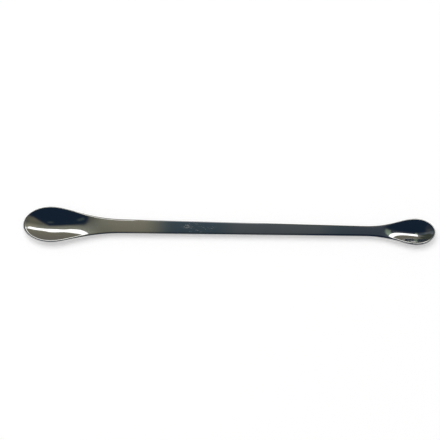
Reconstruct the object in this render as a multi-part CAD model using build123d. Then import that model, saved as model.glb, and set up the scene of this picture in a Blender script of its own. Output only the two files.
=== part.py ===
from build123d import *
import math
import os

# A double-ended lab spoon, pressed from one strip of stainless steel.
# X runs along the spoon, with the large bowl at -X and the small bowl at +X. Z is up.
# Both bowls open upwards, and the spoon lies on the undersides of its two bowls.
# The origin is below its middle, on the surface that it lies on. Sizes are in millimetres.

length = 150.0            # tip to tip, over the rims
thickness = 1.15          # of the strip, the same in the handle and in the bowls
edge_radius = 0.45        # rounding of every long edge, above and below

large_mouth = 12.9        # widest opening of the large bowl, between the crests of its rim
large_tip = 9.6           # from the widest section to the rim's crest at the tip
large_neck = 29.5         # from the widest section to the handle
large_hollow = 20.0       # from the widest section to where the hollow runs out
large_depth = 2.3         # from the level of the rim's crests to the bottom of the hollow

small_mouth = 9.2         # the same sizes of the small bowl
small_tip = 6.6
small_neck = 20.5
small_hollow = 13.4
small_depth = 2.3

rim_lift = 0.6            # how far both rims stand above the handle's top face
handle_at_large = 5.4     # handle's width where the large bowl's neck ends
handle_at_small = 4.0     # handle's width where the small bowl's neck ends

trim_margin = 0.9         # how far the core's sheet runs past its outline before it is trimmed

# The strip is a thin core, grown by the edge radius on every side: this rounds its edges.
# The core's own top is level with z = 0, so the handle's top face is at z = edge_radius.
core_thickness = thickness - 2 * edge_radius


def rim_overhang(depth, tip):
    """How far the rounded rim stands out past its crest at the tip."""
    slope = math.atan(2 * depth / tip)
    return core_thickness * math.sin(slope) + edge_radius


# The widest section of each bowl, and the two ends of the straight handle.
large_x = -length / 2 + rim_overhang(large_depth, large_tip) + large_tip
small_x = length / 2 - rim_overhang(small_depth, small_tip) - small_tip
handle_start = large_x + large_neck
handle_end = small_x - small_neck
taper = (handle_at_small - handle_at_large) / 2 / (handle_end - handle_start)
sheet_half_width = max(large_mouth, small_mouth) / 2 + trim_margin


def core_half_width(x):
    """Half the width of the handle's core at x, on its straight taper."""
    return handle_at_large / 2 - edge_radius + taper * (x - handle_start)


def quintic(controls, t):
    """Value at t of the Bezier polynomial with these six control values."""
    terms = [math.comb(5, i) * t**i * (1 - t) ** (5 - i) * c for i, c in enumerate(controls)]
    return sum(terms)


def neck_half_widths(x, direction, half_mouth, tip, neck):
    """Half the core's width at six even steps along the neck: the control values of its edge.

    The first three continue the curvature of the tip's ellipse. The last three lie on the
    handle's taper.
    """
    shoulder = half_mouth * (1 - neck**2 / (20 * tip**2))
    stations = [x + direction * neck * step / 5 for step in (3, 4, 5)]
    return [half_mouth, half_mouth, shoulder] + [core_half_width(s) for s in stations]


def bowl_outline(x, direction, mouth, tip, neck):
    """Plan outline of one bowl's core and its neck. Direction points to the handle."""
    widths = neck_half_widths(x, direction, mouth / 2, tip, neck)
    stations = [x + direction * neck * step / 5 for step in range(6)]
    back = Bezier([(s, w) for s, w in zip(stations, widths)])
    front = Bezier([(s, -w) for s, w in zip(stations, widths)])
    around_tip = EllipticalCenterArc((x, 0), tip, mouth / 2, direction * 90, arc_size=180)
    return make_face([around_tip, back, Line(back @ 1, front @ 1), front])


def core_outline():
    """Plan outline of the whole core, as a flat face."""
    start = core_half_width(handle_start)
    end = core_half_width(handle_end)
    corners = [(handle_start, start), (handle_end, end), (handle_end, -end), (handle_start, -start)]
    handle = make_face(Polyline(corners, close=True))
    large = bowl_outline(large_x, 1, large_mouth, large_tip, large_neck)
    small = bowl_outline(small_x, -1, small_mouth, small_tip, small_neck)
    return large + handle + small


def dished_patch(stations, floors, rises):
    """A patch whose section across the spoon is a parabola: -floor + rise * y squared."""
    half = sheet_half_width
    rows = []
    for x, floor, rise in zip(stations, floors, rises):
        edge = rise * half**2
        rows.append([Vector(x, y, sign * edge - floor) for y, sign in ((-half, 1), (0, -1), (half, 1))])
    return Face.make_bezier_surface(rows)


def hollow_patches(x, direction, mouth, tip, neck, hollow, depth):
    """The hollow of one bowl: a patch towards the tip, and one that runs into the handle.

    Its rim stands rim_lift above the handle, and comes down along the neck's patch. The third
    rise puts it half way down at the middle of that patch.
    """
    rise = depth / (mouth / 2) ** 2
    start = -tip - trim_margin
    bottom = depth - rim_lift
    start_floor = bottom - depth * start**2 / tip**2
    tip_stations = [x + direction * u for u in (start, start / 2, 0)]
    tip_patch = dished_patch(tip_stations, [start_floor, bottom, bottom], [rise] * 3)

    floors = [bottom, bottom, bottom - depth * hollow**2 / (10 * tip**2), 0, 0, 0]
    widths = neck_half_widths(x, direction, mouth / 2, tip, neck)
    middle_width = quintic(widths, 0.5 * hollow / neck)
    middle_rise = (quintic(floors, 0.5) + rim_lift / 2) / middle_width**2
    third_rise = (32 * middle_rise - 16 * rise) / 10
    neck_stations = [x + direction * hollow * step / 5 for step in range(6)]
    neck_patch = dished_patch(neck_stations, floors, [rise, rise, rise, third_rise, 0, 0])
    return [tip_patch, neck_patch]


def core_sheet():
    """The core's top side: the two hollows and the flat between them, trimmed to the outline."""
    start = large_x + large_hollow
    end = small_x - small_hollow
    flat = Pos((start + end) / 2, 0) * Rectangle(end - start, 2 * sheet_half_width)
    large = hollow_patches(
        large_x, 1, large_mouth, large_tip, large_neck, large_hollow, large_depth
    )
    small = hollow_patches(
        small_x, -1, small_mouth, small_tip, small_neck, small_hollow, small_depth
    )
    sheet = Shell(Face.sew_faces(large + [flat.face()] + small)[0])
    reach = 2 * sheet_half_width
    column = extrude(Pos(0, 0, -reach) * core_outline(), 2 * reach, dir=(0, 0, 1))
    return Shell(Face.sew_faces(list(sheet.intersect(column).faces()))[0])


def make_spoon():
    """The strip with its edges rounded, lying as it comes to rest."""
    sheet = core_sheet()
    facing = sheet.faces()[0].normal_at().Z
    core = Solid.thicken(sheet, -math.copysign(core_thickness, facing))
    spoon = core.offset_3d(None, edge_radius, kind=Kind.ARC)
    lean = math.degrees(math.atan2(large_depth - small_depth, small_x - large_x))
    spoon = Rot(0, lean, 0) * spoon
    return Pos(0, 0, -spoon.bounding_box().min.Z) * spoon


os.makedirs("parts", exist_ok=True)
export_step(make_spoon(), "parts/double_spoon.step")
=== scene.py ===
import math

import bmesh
import bpy
from mathutils import Matrix, Vector


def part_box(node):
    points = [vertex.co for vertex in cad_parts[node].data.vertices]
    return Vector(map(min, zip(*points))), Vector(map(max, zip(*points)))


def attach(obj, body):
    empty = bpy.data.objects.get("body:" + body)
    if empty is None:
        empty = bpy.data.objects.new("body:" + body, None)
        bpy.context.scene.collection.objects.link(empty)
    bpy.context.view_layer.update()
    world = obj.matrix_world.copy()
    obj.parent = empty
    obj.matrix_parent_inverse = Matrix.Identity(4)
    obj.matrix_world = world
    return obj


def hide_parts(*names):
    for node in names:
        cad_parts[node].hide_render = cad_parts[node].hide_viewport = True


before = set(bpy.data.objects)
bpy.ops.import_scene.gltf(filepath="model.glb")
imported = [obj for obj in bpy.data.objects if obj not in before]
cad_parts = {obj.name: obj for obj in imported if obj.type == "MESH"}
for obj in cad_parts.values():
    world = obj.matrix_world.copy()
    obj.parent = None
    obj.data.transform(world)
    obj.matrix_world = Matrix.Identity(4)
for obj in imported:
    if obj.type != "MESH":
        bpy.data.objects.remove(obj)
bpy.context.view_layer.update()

MM = 0.001

# ---- sizes of the spoon, in metres -------------------------------------------------------
# X runs from the large bowl to the small one, and z = 0 is the surface it lies on.

LOW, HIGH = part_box("double_spoon")
THICKNESS = 1.15 * MM
EDGE_RADIUS = 0.45 * MM
CORE = THICKNESS - 2 * EDGE_RADIUS          # the flat band left between the two roundings
DEPTH = 2.3 * MM                            # of both hollows, below the crest of the rim
LIFT = 0.6 * MM                             # of the rims, above the handle's top face
TOP = DEPTH - LIFT + THICKNESS              # height of the handle's top face
AT_LARGE, AT_SMALL = 5.4 * MM, 4.0 * MM     # the handle's width at its two ends


class Bowl:
    """One end of the spoon, described from its widest section. Side is -1 at -X, 1 at +X."""

    def __init__(self, side, mouth, tip, neck, hollow):
        self.side = side
        self.half = mouth / 2
        self.tip = tip
        self.neck = neck
        self.hollow = hollow
        slope = math.atan(2 * DEPTH / tip)
        overhang = CORE * math.sin(slope) + EDGE_RADIUS
        end = LOW.x if side < 0 else HIGH.x
        self.x = end - side * (overhang + tip)
        self.neck_end = self.x - side * neck
        self.hollow_end = self.x - side * hollow


LARGE = Bowl(-1, 12.9 * MM, 9.6 * MM, 29.5 * MM, 20.0 * MM)
SMALL = Bowl(1, 9.2 * MM, 6.6 * MM, 20.5 * MM, 13.4 * MM)


def quintic(controls, t):
    """Value at t of the Bezier polynomial with these six control values."""
    return sum(math.comb(5, i) * t**i * (1 - t) ** (5 - i) * c for i, c in enumerate(controls))


def handle_half(x):
    """Half the width between the crests of the handle's rounded edges."""
    along = (x - LARGE.neck_end) / (SMALL.neck_end - LARGE.neck_end)
    return (AT_LARGE + (AT_SMALL - AT_LARGE) * along) / 2 - EDGE_RADIUS


def neck_controls(bowl):
    """Half widths along a neck: the tip's ellipse carries on into the handle's taper."""
    shoulder = bowl.half * (1 - bowl.neck**2 / (20 * bowl.tip**2))
    stations = [bowl.x - bowl.side * bowl.neck * step / 5 for step in (3, 4, 5)]
    return [bowl.half, bowl.half, shoulder] + [handle_half(x) for x in stations]


def nearest_bowl(x):
    return LARGE if x < (LARGE.neck_end + SMALL.neck_end) / 2 else SMALL


def half_width(x):
    """Half the spoon's width between its rim's crests, from one widest section to the other."""
    bowl = nearest_bowl(x)
    u = bowl.side * (bowl.x - x)
    return quintic(neck_controls(bowl), u / bowl.neck) if u < bowl.neck else handle_half(x)


def height(x, y):
    """Height of the surface through the middle of the roundings, from the rim's level."""
    bowl = nearest_bowl(x)
    u = bowl.side * (bowl.x - x)
    rise = DEPTH / bowl.half**2
    if u <= 0:
        return DEPTH * (u**2 / bowl.tip**2 - 1) + LIFT + rise * y**2
    if u >= bowl.hollow:
        return 0.0
    floor = DEPTH - LIFT
    floors = [floor, floor, floor - DEPTH * bowl.hollow**2 / (10 * bowl.tip**2), 0, 0, 0]
    half = quintic(neck_controls(bowl), 0.5 * bowl.hollow / bowl.neck)
    middle = (quintic(floors, 0.5) + LIFT / 2) / half**2
    rises = [rise, rise, rise, (32 * middle - 16 * rise) / 10, 0, 0]
    t = u / bowl.hollow
    return quintic(rises, t) * y**2 - quintic(floors, t)


def surface_point(x, y):
    return Vector((x, y, TOP - EDGE_RADIUS + height(x, y)))


def surface_normal(x, y):
    step = SLOPE_STEP
    slope_x = (height(x + step, y) - height(x - step, y)) / (2 * step)
    slope_y = (height(x, y + step) - height(x, y - step)) / (2 * step)
    return Vector((-slope_x, -slope_y, 1)).normalized()


# ---- the spoon's mesh --------------------------------------------------------------------

SOFT_RADIUS = 1.1 * MM                      # of the wide rounding next to each face
SOFT_TURN = math.radians(30)                # how far that rounding turns
CORNER_RADIUS = 0.22 * MM                   # of the tighter rounding that follows it
EDGE_WIDTH = SOFT_RADIUS * math.sin(SOFT_TURN) + CORNER_RADIUS * (1 - math.sin(SOFT_TURN))
INSET = EDGE_WIDTH - EDGE_RADIUS            # from the rim's crest in to the flat of the face

TIP_COLUMNS = 26                            # columns of faces from a widest section to the tip
HOLLOW_COLUMNS_LARGE = 60                   # from there to where the hollow runs out
HOLLOW_COLUMNS_SMALL = 44
NECK_COLUMNS = 16                           # on to the neck's end
HANDLE_COLUMNS = 60
ROWS_ACROSS = 48
SOFT_STEPS = 5
CORNER_STEPS = 4
SLOPE_STEP = 0.01 * MM                      # for the surface's slope
WELD = 0.0005 * MM                          # vertices closer than this are merged


def spaced(start, end, count):
    """Count even steps from start, without the end."""
    return [start + (end - start) * i / count for i in range(count)]


def column_stations():
    """X of each column of faces between the two widest sections."""
    stations = spaced(LARGE.x, LARGE.hollow_end, HOLLOW_COLUMNS_LARGE)
    stations += spaced(LARGE.hollow_end, LARGE.neck_end, NECK_COLUMNS)
    stations += spaced(LARGE.neck_end, SMALL.neck_end, HANDLE_COLUMNS)
    stations += spaced(SMALL.neck_end, SMALL.hollow_end, NECK_COLUMNS)
    stations += spaced(SMALL.hollow_end, SMALL.x, HOLLOW_COLUMNS_SMALL)
    return stations + [SMALL.x]


def plan_point(column, v, stations):
    """Plan place of a grid point: rows squeezed to the outline, with a round end at each tip."""
    last = len(stations) - 1
    inner = column - TIP_COLUMNS
    if 0 <= inner <= last:
        x = stations[inner]
        return x, v * (half_width(x) - INSET)
    bowl = LARGE if inner < 0 else SMALL
    out = (-inner if inner < 0 else inner - last) / TIP_COLUMNS
    x = bowl.x + bowl.side * (bowl.tip - INSET) * out * math.sqrt(1 - v * v / 2)
    return x, (bowl.half - INSET) * v * math.sqrt(1 - out * out / 2)


def outward(vert, normal):
    """Direction out of the rim, square to it and to the surface's normal."""
    ends = [edge.other_vert(vert).co for edge in vert.link_edges if edge.is_boundary]
    out = (ends[1] - ends[0]).cross(normal).normalized()
    middle = Vector((min(max(vert.co.x, LARGE.x), SMALL.x), 0, vert.co.z))
    return out if out.dot(vert.co - middle) > 0 else -out


def edge_quarter():
    """Points from the face to the side: distance still to go outwards, and depth below it."""
    points = []
    for step in range(SOFT_STEPS + 1):
        turn = SOFT_TURN * step / SOFT_STEPS
        inwards = EDGE_WIDTH - SOFT_RADIUS * math.sin(turn)
        points.append((inwards, SOFT_RADIUS * (1 - math.cos(turn))))
    left, depth = points[-1]
    for step in range(1, CORNER_STEPS + 1):
        turn = SOFT_TURN + (math.pi / 2 - SOFT_TURN) * step / CORNER_STEPS
        across = CORNER_RADIUS * (math.sin(turn) - math.sin(SOFT_TURN))
        down = CORNER_RADIUS * (math.cos(SOFT_TURN) - math.cos(turn))
        points.append((left - across, depth + down))
    return points


def rim_rings():
    """Sections of the rounded edge, as (inwards from the side, below the top face)."""
    quarter = edge_quarter()
    lower = [(inwards, THICKNESS - depth) for inwards, depth in reversed(quarter)]
    return quarter[1:] + lower


def lay_middle_surface(bm):
    """Grid on the surface through the middle of the roundings, with its point and normal."""
    stations = column_stations()
    columns = len(stations) - 1 + 2 * TIP_COLUMNS
    bmesh.ops.create_grid(bm, x_segments=columns, y_segments=ROWS_ACROSS, size=1)
    frames = {}
    for vert in bm.verts:
        column = round((vert.co.x + 1) / 2 * columns)
        x, y = plan_point(column, vert.co.y, stations)
        vert.co = surface_point(x, y)
        frames[vert] = (vert.co.copy(), surface_normal(x, y))
    bm.normal_update()
    return frames


def split_faces(bm, frames):
    """Move the grid up to be the top face, and turn a copy of it over as the underside."""
    copy = bmesh.ops.duplicate(bm, geom=bm.verts[:] + bm.edges[:] + bm.faces[:])
    for old, new in copy["vert_map"].items():
        if new in frames:
            continue
        point, normal = frames[old]
        new.co = point - (CORE + EDGE_RADIUS) * normal
    under = [item for item in copy["geom"] if isinstance(item, bmesh.types.BMFace)]
    bmesh.ops.reverse_faces(bm, faces=under)
    for vert, (point, normal) in frames.items():
        vert.co = point + EDGE_RADIUS * normal


def draw_edge(bm, rim, frames, outs):
    """Draw the rounded edge out of the top's rim, ring by ring."""
    ring = rim
    source = {vert: vert for vert in outs}
    for inwards, depth in rim_rings():
        drawn = bmesh.ops.extrude_edge_only(bm, edges=ring)["geom"]
        new_verts = [item for item in drawn if isinstance(item, bmesh.types.BMVert)]
        ring = [item for item in drawn if isinstance(item, bmesh.types.BMEdge)]
        origin = {}
        for vert in new_verts:
            before = [e.other_vert(vert) for e in vert.link_edges if e.other_vert(vert) in source]
            origin[vert] = source[before[0]]
        for vert, root in origin.items():
            point, normal = frames[root]
            place = point + (EDGE_RADIUS - depth) * normal
            vert.co = place + (EDGE_WIDTH - inwards) * outs[root]
        source = origin
        fresh = set(new_verts)
        ring = [edge for edge in ring if edge.verts[0] in fresh and edge.verts[1] in fresh]


def link_mesh(name, bm):
    """A new object in the scene, at the origin, with the mesh of bm."""
    mesh = bpy.data.meshes.new(name)
    bm.to_mesh(mesh)
    bm.free()
    thing = bpy.data.objects.new(name, mesh)
    bpy.context.scene.collection.objects.link(thing)
    return thing


def make_spoon():
    bm = bmesh.new()
    frames = lay_middle_surface(bm)
    rim = [edge for edge in bm.edges if edge.is_boundary]
    outs = {vert: outward(vert, frames[vert][1]) for edge in rim for vert in edge.verts}
    split_faces(bm, frames)
    draw_edge(bm, rim, frames, outs)
    bmesh.ops.remove_doubles(bm, verts=bm.verts, dist=WELD)
    bmesh.ops.recalc_face_normals(bm, faces=bm.faces)
    for face in bm.faces:
        face.smooth = True
    return link_mesh("polished_spoon", bm)


# ---- node helpers ------------------------------------------------------------------------


def add_node(tree, kind, **settings):
    node = tree.nodes.new(kind)
    for name, value in settings.items():
        setattr(node, name, value)
    return node


def feed(tree, value, socket):
    """Link a node's output to a socket, or write a plain value on it."""
    if isinstance(value, bpy.types.NodeSocket):
        tree.links.new(value, socket)
    else:
        socket.default_value = value


def math_node(tree, operation, first, second=0.0):
    node = add_node(tree, "ShaderNodeMath", operation=operation)
    feed(tree, first, node.inputs[0])
    feed(tree, second, node.inputs[1])
    return node.outputs[0]


def both(tree, first, second):
    return math_node(tree, "MULTIPLY", first, second)


def total(tree, first, second):
    return math_node(tree, "ADD", first, second)


def less(tree, first, second):
    return math_node(tree, "SUBTRACT", first, second)


def either(tree, first, second):
    return math_node(tree, "MAXIMUM", first, second)


def sloped(tree, value, factor, start):
    """Value times factor, plus start."""
    node = add_node(tree, "ShaderNodeMath", operation="MULTIPLY_ADD")
    for socket, item in zip(node.inputs, (value, factor, start)):
        feed(tree, item, socket)
    return node.outputs[0]


def scaled(tree, vector, factor):
    node = add_node(tree, "ShaderNodeVectorMath", operation="SCALE")
    feed(tree, vector, node.inputs[0])
    feed(tree, factor, node.inputs["Scale"])
    return node.outputs[0]


def ramp_up(tree, value, start, end):
    """0 below start, 1 above end, and a smooth rise between them. A start above end falls."""
    node = add_node(tree, "ShaderNodeMapRange", interpolation_type="SMOOTHSTEP")
    feed(tree, value, node.inputs["Value"])
    flip = start > end
    node.inputs["From Min"].default_value = end if flip else start
    node.inputs["From Max"].default_value = start if flip else end
    node.inputs["To Min"].default_value = 1.0 if flip else 0.0
    node.inputs["To Max"].default_value = 0.0 if flip else 1.0
    return node.outputs["Result"]


def between(tree, value, low, high, soft):
    """1 between low and high, falling smoothly to 0 over soft outside them."""
    above = ramp_up(tree, value, low - soft, low)
    return both(tree, above, ramp_up(tree, value, high + soft, high))


def bow(tree, x, middle, crown, drop):
    """A value that is crown at X = middle and falls off as a parabola, by drop at 10 mm."""
    off = less(tree, x, middle)
    return less(tree, crown, both(tree, both(tree, off, off), drop / 0.01**2))


def mix_colour(tree, share, first, second):
    node = add_node(tree, "ShaderNodeMix", data_type="RGBA")
    feed(tree, share, node.inputs["Factor"])
    feed(tree, first, node.inputs[6])
    feed(tree, second, node.inputs[7])
    return node.outputs[2]


def noise(tree, vector, scale, detail=2.0, roughness=0.5):
    node = add_node(tree, "ShaderNodeTexNoise")
    feed(tree, vector, node.inputs["Vector"])
    node.inputs["Scale"].default_value = scale
    node.inputs["Detail"].default_value = detail
    node.inputs["Roughness"].default_value = roughness
    return node.outputs["Fac"]


def stretched(tree, vector, scale, turn=0.0):
    """The vector scaled along each axis, for marks that are longer one way."""
    node = add_node(tree, "ShaderNodeMapping")
    feed(tree, vector, node.inputs["Vector"])
    node.inputs["Scale"].default_value = scale
    node.inputs["Rotation"].default_value = (0, 0, turn)
    return node.outputs["Vector"]


def new_group(name, inputs, outputs):
    group = bpy.data.node_groups.new(name, "ShaderNodeTree")
    for label, kind, value in inputs:
        socket = group.interface.new_socket(label, in_out="INPUT", socket_type=kind)
        if value is not None:
            socket.default_value = value
    for label, kind in outputs:
        group.interface.new_socket(label, in_out="OUTPUT", socket_type=kind)
    source = add_node(group, "NodeGroupInput")
    result = add_node(group, "NodeGroupOutput")
    return group, source.outputs, result.inputs


def place_group(tree, group, **values):
    node = add_node(tree, "ShaderNodeGroup", node_tree=group)
    for label, value in values.items():
        feed(tree, value, node.inputs[label.replace("_", " ").capitalize()])
    return node.outputs


def seen_ray(tree):
    """1 for rays that only show a thing, and 0 for the rays that carry its light."""
    rays = add_node(tree, "ShaderNodeLightPath").outputs
    mirrored = either(tree, rays["Is Camera Ray"], rays["Is Glossy Ray"])
    return either(tree, mirrored, rays["Is Transmission Ray"])


def new_material(name):
    material = bpy.data.materials.new(name)
    material.use_nodes = True
    material.node_tree.nodes.clear()
    return material, material.node_tree


# ---- polished steel ----------------------------------------------------------------------

KNOCK_AT = (-15.3 * MM, 0.3 * MM, 0)        # middle of the bright knock on the handle
RUBBED_AT = (-11.0 * MM, 0, 0)              # middle of the rubbed streaks round it
KNOCK_SPREAD = (600, 1000, 0)               # one over the half sizes of both patches, in metres
RUBBED_SPREAD = (110, 300, 0)
STREAK_SHARE = 0.60                         # strength of the streaks beside the knock

STEEL_DARK = (0.585, 0.585, 0.575, 1)
STEEL_LIGHT = (0.625, 0.625, 0.615, 1)
SCUFFED = (0.80, 0.80, 0.80, 1)
ROUGHNESS = 0.055
ROUGHER_BY_HAZE = 0.06
ROUGHER_BY_SCUFFS = 0.50
LINE_STRENGTH = 0.05
LINE_DEPTH = 0.004 * MM


def polishing_lines():
    """Fine lines left by the polishing wheel along the strip: a height from 0 to 1."""
    group, given, out = new_group(
        "polishing_lines",
        [("Vector", "NodeSocketVector", None), ("Fineness", "NodeSocketFloat", 1.0)],
        [("Height", "NodeSocketFloat")],
    )
    along = stretched(group, given["Vector"], (40, 2600, 2600))
    lines = scaled(group, along, given["Fineness"])
    feed(group, noise(group, lines, 1.0, detail=3.0), out["Height"])
    return group


def spot(tree, vector, at, spread, turn):
    """A soft patch round the point at: 1 in its middle, 0 where the scaled distance is 1."""
    offset = add_node(tree, "ShaderNodeVectorMath", operation="SUBTRACT")
    feed(tree, vector, offset.inputs[0])
    offset.inputs[1].default_value = at
    reach = add_node(tree, "ShaderNodeVectorMath", operation="LENGTH")
    feed(tree, stretched(tree, offset.outputs[0], spread, turn=turn), reach.inputs[0])
    return ramp_up(tree, reach.outputs["Value"], 1.0, 0.3)


def scuffs():
    """A bright knock on the handle and faint rubbed streaks round it: a mask from 0 to 1."""
    group, given, out = new_group(
        "scuffs",
        [("Vector", "NodeSocketVector", None), ("Amount", "NodeSocketFloat", 1.0)],
        [("Mask", "NodeSocketFloat")],
    )
    place = given["Vector"]
    marks = noise(group, stretched(group, place, (700, 2600, 2600), turn=0.9), 1.0, detail=1.0)
    knock = spot(group, place, KNOCK_AT, KNOCK_SPREAD, turn=1.0)
    knock = both(group, knock, ramp_up(group, marks, 0.30, 0.55))
    streaks = spot(group, place, RUBBED_AT, RUBBED_SPREAD, turn=0.0)
    streaks = both(group, both(group, ramp_up(group, marks, 0.50, 0.72), streaks), STREAK_SHARE)
    mask = either(group, knock, streaks)
    feed(group, both(group, mask, given["Amount"]), out["Mask"])
    return group


def polished_steel():
    material, tree = new_material("polished_steel")
    place = add_node(tree, "ShaderNodeTexCoord").outputs["Object"]

    lines = place_group(tree, polishing_lines(), vector=place, fineness=1.0)["Height"]
    marks = place_group(tree, scuffs(), vector=place, amount=1.0)["Mask"]
    haze = noise(tree, stretched(tree, place, (90, 260, 260)), 1.0, detail=3.0)

    tone = mix_colour(tree, haze, STEEL_DARK, STEEL_LIGHT)
    roughness = sloped(tree, haze, ROUGHER_BY_HAZE, ROUGHNESS)

    bump = add_node(tree, "ShaderNodeBump")
    bump.inputs["Strength"].default_value = LINE_STRENGTH
    bump.inputs["Distance"].default_value = LINE_DEPTH
    feed(tree, lines, bump.inputs["Height"])

    shader = add_node(tree, "ShaderNodeBsdfPrincipled")
    shader.inputs["Metallic"].default_value = 1.0
    feed(tree, mix_colour(tree, marks, tone, SCUFFED), shader.inputs["Base Color"])
    feed(tree, sloped(tree, marks, ROUGHER_BY_SCUFFS, roughness), shader.inputs["Roughness"])
    feed(tree, bump.outputs["Normal"], shader.inputs["Normal"])
    output = add_node(tree, "ShaderNodeOutputMaterial")
    feed(tree, shader.outputs["BSDF"], output.inputs["Surface"])
    return material


# ---- light tent --------------------------------------------------------------------------
# Polished steel shows what it mirrors. Here that is painted on the inside of a half tube that
# lies along the spoon. Zones are set by X in metres, and by an angle in degrees: 0 on the table
# behind the spoon, 90 overhead, 180 on the table in front. A pair is where a ramp starts and
# ends.

TENT_RADIUS = 0.06
TENT_LENGTH = 1.2
TENT_SEGMENTS = 128

BAND_WHITE = (2.2, 2.2, 2.2, 1)
NAVY = (0.012, 0.024, 0.047, 1)
TEAL = (0.055, 0.083, 0.103, 1)
SLATE = (0.057, 0.070, 0.090, 1)
OLIVE = (0.185, 0.190, 0.158, 1)
GREY_BROWN = (0.190, 0.180, 0.155, 1)
MIST = (0.230, 0.290, 0.230, 1)
PALE = (0.800, 0.790, 0.820, 1)
TAN = (0.235, 0.225, 0.172, 1)
GREY = (0.125, 0.125, 0.130, 1)
DIM_OLIVE = (0.060, 0.070, 0.055, 1)
GLINT = (0.130, 0.175, 0.155, 1)
FRONT_GREY = (0.500, 0.500, 0.520, 1)

# Overhead, from the large bowl to the small one.
OLIVE_TO_TAN = (-0.060, -0.042)
TAN_TO_TEAL = (-0.036, -0.022)
TEAL_TO_SLATE = (0.035, 0.055)
GREY_SPAN = (0.005, 0.034, 0.012)           # low, high and the width of the soft ends
GREY_SHARE = 0.5
MIST_SPAN = (0.069, 0.076, 0.003)
MIST_ANGLES = (62, 74, 4)
LIT_ANGLE, LIT_FACTOR = 64.0, 1.45          # the overhead colours dim from the back forwards
DIM_ANGLE, DIM_FACTOR = 78.0, 0.70

# The dark front half of the room. At the large bowl its near limit moves with X.
LIMIT_SLOPE, LIMIT_START = 1140.0, 152.0
LIMIT_LOW, LIMIT_HIGH = 73.0, 104.0
LIMIT_RAMP = (-7, 5)
DARK_LEFT_X = (-0.030, -0.040)
DARK_RIGHT_ANGLES, DARK_RIGHT_X = (72, 84), (0.016, 0.040)
DARK_MIDDLE_ANGLES, DARK_MIDDLE_SHARE = (90, 115), 0.7
GLINT_SPAN, GLINT_ANGLES, GLINT_SHARE = (-0.073, -0.068, 0.004), (86, 89, 4), 0.35
FRONT_ANGLES = (156, 168)

# The wall behind, under the bands.
WALL_ANGLES = (56, 50)
WALL_LEFT_X = (-0.034, -0.040)
WALL_RIGHT_X = (0.010, 0.026)
BROWN_TO_TAN = (8, 46)
SHADED_SPAN = (-0.010, 0.056, 0.014)
PALE_SPAN, PALE_ANGLES = (-0.030, 0.008, 0.008), (50, 25)

# The band over the large bowl: its middle angle, how that moves along X, and its half width.
LEFT_MIDDLE = 52.5
SAG_X, SAG = (-0.058, -0.083), -5.0
LIFT_X, LIFT_BY = (-0.0835, -0.0900), 12.0
SLIM, SLIM_AT_SAG, SLIM_AT_NECK = 1.55, -0.5, 2.0
SAG_SLIM_X, NECK_SLIM_X = (-0.060, -0.074), (-0.080, -0.087)
LEFT_HALF = 7
LEFT_END = (-0.037, -0.039)
HOOK_ANGLES, HOOK_X = (22, 60, 2), (-0.0880, -0.0892)

# The band over the small bowl.
RIGHT_BOW = (0.088, 53.5, 1.0)              # X of its crown, the crown's angle, drop at 10 mm
RIGHT_BELOW, RIGHT_ABOVE = -9, 8
RIGHT_END = (0.066, 0.069)
GLOW_END, GLOW_SOFT, GLOW_SHARE = (0.040, 0.066), 3, 0.06
BAND_SOFT = 1.5


def overhead(tree, x, angle):
    """Olive at the large bowl, teal over the handle, slate and a mist at the small bowl."""
    olive = mix_colour(tree, ramp_up(tree, x, *OLIVE_TO_TAN), OLIVE, TAN)
    colour = mix_colour(tree, ramp_up(tree, x, *TAN_TO_TEAL), olive, TEAL)
    greyer = both(tree, between(tree, x, *GREY_SPAN), GREY_SHARE)
    colour = mix_colour(tree, greyer, colour, GREY)
    colour = mix_colour(tree, ramp_up(tree, x, *TEAL_TO_SLATE), colour, SLATE)
    mist = both(tree, between(tree, x, *MIST_SPAN), between(tree, angle, *MIST_ANGLES))
    colour = mix_colour(tree, mist, colour, MIST)
    dimming = add_node(tree, "ShaderNodeMapRange")
    feed(tree, angle, dimming.inputs["Value"])
    dimming.inputs["From Min"].default_value = LIT_ANGLE
    dimming.inputs["From Max"].default_value = DIM_ANGLE
    dimming.inputs["To Min"].default_value = LIT_FACTOR
    dimming.inputs["To Max"].default_value = DIM_FACTOR
    return scaled(tree, colour, dimming.outputs["Result"])


def add_front(tree, x, angle, colour):
    """The dark front half, with a faint glint in it and a grey strip low down."""
    limit = either(tree, sloped(tree, x, LIMIT_SLOPE, LIMIT_START), LIMIT_LOW)
    past = less(tree, angle, math_node(tree, "MINIMUM", limit, LIMIT_HIGH))
    left = both(tree, ramp_up(tree, past, *LIMIT_RAMP), ramp_up(tree, x, *DARK_LEFT_X))
    right = ramp_up(tree, angle, *DARK_RIGHT_ANGLES)
    right = both(tree, right, ramp_up(tree, x, *DARK_RIGHT_X))
    middle = both(tree, ramp_up(tree, angle, *DARK_MIDDLE_ANGLES), DARK_MIDDLE_SHARE)
    colour = mix_colour(tree, either(tree, left, either(tree, right, middle)), colour, NAVY)
    glint = both(tree, between(tree, x, *GLINT_SPAN), between(tree, angle, *GLINT_ANGLES))
    colour = mix_colour(tree, both(tree, glint, GLINT_SHARE), colour, GLINT)
    return mix_colour(tree, ramp_up(tree, angle, *FRONT_ANGLES), colour, FRONT_GREY)


def add_wall(tree, x, angle, colour):
    """The wall behind: grey brown at both bowls, and pale behind the handle."""
    ends = either(tree, ramp_up(tree, x, *WALL_LEFT_X), ramp_up(tree, x, *WALL_RIGHT_X))
    wall = mix_colour(tree, ramp_up(tree, angle, *BROWN_TO_TAN), GREY_BROWN, TAN)
    wall = mix_colour(tree, between(tree, x, *SHADED_SPAN), wall, DIM_OLIVE)
    colour = mix_colour(tree, both(tree, ends, ramp_up(tree, angle, *WALL_ANGLES)), colour, wall)
    pale = both(tree, between(tree, x, *PALE_SPAN), ramp_up(tree, angle, *PALE_ANGLES))
    return mix_colour(tree, pale, colour, PALE)


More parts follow.
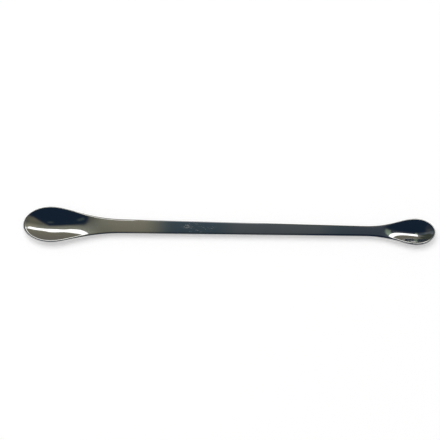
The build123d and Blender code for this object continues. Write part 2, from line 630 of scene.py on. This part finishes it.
def left_band(tree, x, angle):
    """The white band over the large bowl. It sags in the middle and is widest there."""
    sag = both(tree, ramp_up(tree, x, *SAG_X), SAG)
    lift = both(tree, ramp_up(tree, x, *LIFT_X), LIFT_BY)
    off = less(tree, less(tree, angle, total(tree, sag, lift)), LEFT_MIDDLE)
    at_sag = both(tree, ramp_up(tree, x, *SAG_SLIM_X), SLIM_AT_SAG)
    at_neck = both(tree, ramp_up(tree, x, *NECK_SLIM_X), SLIM_AT_NECK)
    off = both(tree, off, total(tree, total(tree, at_sag, at_neck), SLIM))
    band = between(tree, off, -LEFT_HALF, LEFT_HALF, BAND_SOFT)
    hook = both(tree, between(tree, angle, *HOOK_ANGLES), ramp_up(tree, x, *HOOK_X))
    return either(tree, both(tree, band, ramp_up(tree, x, *LEFT_END)), hook)


def right_band(tree, x, angle):
    """The white band over the small bowl, with a faint glow past its end."""
    off = less(tree, angle, bow(tree, x, *RIGHT_BOW))
    band = between(tree, off, RIGHT_BELOW, RIGHT_ABOVE, BAND_SOFT)
    glow = between(tree, off, RIGHT_BELOW, RIGHT_ABOVE, GLOW_SOFT)
    glow = both(tree, both(tree, glow, ramp_up(tree, x, *GLOW_END)), GLOW_SHARE)
    return either(tree, both(tree, band, ramp_up(tree, x, *RIGHT_END)), glow)


def tent_material():
    material, tree = new_material("light_tent")
    parts = add_node(tree, "ShaderNodeSeparateXYZ")
    feed(tree, add_node(tree, "ShaderNodeTexCoord").outputs["Object"], parts.inputs[0])
    x = parts.outputs["X"]
    turn = math_node(tree, "ARCTAN2", parts.outputs["Z"], parts.outputs["Y"])
    angle = math_node(tree, "DEGREES", turn)

    colour = overhead(tree, x, angle)
    colour = add_front(tree, x, angle, colour)
    colour = add_wall(tree, x, angle, colour)
    bands = either(tree, left_band(tree, x, angle), right_band(tree, x, angle))
    colour = mix_colour(tree, bands, colour, BAND_WHITE)

    glow = add_node(tree, "ShaderNodeEmission")
    feed(tree, colour, glow.inputs["Color"])
    output = add_node(tree, "ShaderNodeOutputMaterial")
    feed(tree, glow.outputs[0], output.inputs["Surface"])
    return material


def light_tent():
    """The half tube. It is seen in reflections alone, and lights nothing else."""
    bm = bmesh.new()
    bmesh.ops.create_cone(
        bm, cap_ends=False, segments=TENT_SEGMENTS, depth=TENT_LENGTH,
        radius1=TENT_RADIUS, radius2=TENT_RADIUS,
    )
    bmesh.ops.rotate(bm, verts=bm.verts, matrix=Matrix.Rotation(math.pi / 2, 3, "Y"))
    below = [vert for vert in bm.verts if vert.co.z < -0.1 * MM]
    bmesh.ops.delete(bm, geom=below, context="VERTS")
    bmesh.ops.reverse_faces(bm, faces=bm.faces)
    tent = link_mesh("light_tent", bm)
    tent.data.materials.append(tent_material())
    tent.visible_camera = False
    tent.visible_diffuse = False
    tent.visible_shadow = False
    tent.visible_transmission = False


# ---- table, world and lamp ---------------------------------------------------------------

TABLE_HALF = 6.0
TABLE_TONE = (0.80, 0.80, 0.80, 1)
TABLE_LIFT = 0.29                           # added where the table is seen, to reach white
WORLD_LIGHT = 0.44                          # strength that lights the table
WORLD_SEEN = 1.0                            # strength that is seen and mirrored
LAMP_PLACE = (-0.60, 0.60, 2.8)
LAMP_SIZE = 2.9
LAMP_WATTS = 50.0


def make_floor():
    """A wide white table. What is seen of it is lifted to plain white, less the shadow."""
    bm = bmesh.new()
    bmesh.ops.create_grid(bm, x_segments=1, y_segments=1, size=TABLE_HALF)
    table = link_mesh("white_table", bm)

    material, tree = new_material("white_table")
    paper = add_node(tree, "ShaderNodeBsdfDiffuse")
    paper.inputs["Color"].default_value = TABLE_TONE
    lift = add_node(tree, "ShaderNodeEmission")
    lift.inputs["Color"].default_value = (1, 1, 1, 1)
    feed(tree, both(tree, seen_ray(tree), TABLE_LIFT), lift.inputs["Strength"])
    together = add_node(tree, "ShaderNodeAddShader")
    feed(tree, paper.outputs[0], together.inputs[0])
    feed(tree, lift.outputs[0], together.inputs[1])
    output = add_node(tree, "ShaderNodeOutputMaterial")
    feed(tree, together.outputs[0], output.inputs["Surface"])
    table.data.materials.append(material)


def make_world():
    """White behind everything, and an even light on the table."""
    world = bpy.data.worlds.new("studio")
    bpy.context.scene.world = world
    world.use_nodes = True
    tree = world.node_tree
    tree.nodes.clear()
    strength = add_node(tree, "ShaderNodeMapRange")
    feed(tree, seen_ray(tree), strength.inputs["Value"])
    strength.inputs["To Min"].default_value = WORLD_LIGHT
    strength.inputs["To Max"].default_value = WORLD_SEEN
    background = add_node(tree, "ShaderNodeBackground")
    background.inputs["Color"].default_value = (1, 1, 1, 1)
    feed(tree, strength.outputs["Result"], background.inputs["Strength"])
    output = add_node(tree, "ShaderNodeOutputWorld")
    feed(tree, background.outputs[0], output.inputs["Surface"])


def overhead_lamp():
    """One wide disk that gives the soft shadow. It is aimed at the origin and never seen."""
    lamp = bpy.data.lights.new("overhead_lamp", "AREA")
    lamp.shape = "DISK"
    lamp.size = LAMP_SIZE
    lamp.energy = LAMP_WATTS
    holder = bpy.data.objects.new("overhead_lamp", lamp)
    holder.location = LAMP_PLACE
    holder.rotation_euler = (-Vector(LAMP_PLACE)).to_track_quat("-Z", "Y").to_euler()
    holder.visible_glossy = False
    holder.visible_camera = False
    bpy.context.scene.collection.objects.link(holder)


# ---- camera ------------------------------------------------------------------------------

CAMERA_TURN = math.radians(1.22)            # of the view's right, from the spoon's length
CAMERA_RISE = math.radians(70)              # above the table
CAMERA_DISTANCE = 0.50
FRAME_WIDTH = 159.8 * MM                    # of the view, at the spoon
SENSOR = 36.0
AIM = (-3.3 * MM, 2.96 * MM)                # view centre from the spoon's middle: right, up


def make_camera():
    right = Vector((math.cos(CAMERA_TURN), math.sin(CAMERA_TURN), 0))
    back = Vector((
        math.sin(CAMERA_TURN) * math.cos(CAMERA_RISE),
        -math.cos(CAMERA_TURN) * math.cos(CAMERA_RISE),
        math.sin(CAMERA_RISE),
    ))
    up = back.cross(right)
    middle = Vector((0, 0, TOP))
    target = middle + AIM[0] * right + AIM[1] * up
    camera = bpy.data.cameras.new("camera")
    camera.sensor_width = SENSOR
    camera.lens = SENSOR * CAMERA_DISTANCE / FRAME_WIDTH
    camera.clip_start = 0.01
    camera.clip_end = 50.0
    holder = bpy.data.objects.new("camera", camera)
    holder.location = target + CAMERA_DISTANCE * back
    holder.rotation_euler = back.to_track_quat("Z", "Y").to_euler()
    bpy.context.scene.collection.objects.link(holder)
    bpy.context.scene.camera = holder


# ---- the whole scene ---------------------------------------------------------------------

spoon = make_spoon()
spoon.data.materials.append(polished_steel())
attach(spoon, "root")
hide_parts("double_spoon")

make_floor()
light_tent()
make_world()
overhead_lamp()
make_camera()
bpy.context.scene.view_settings.view_transform = "Standard"
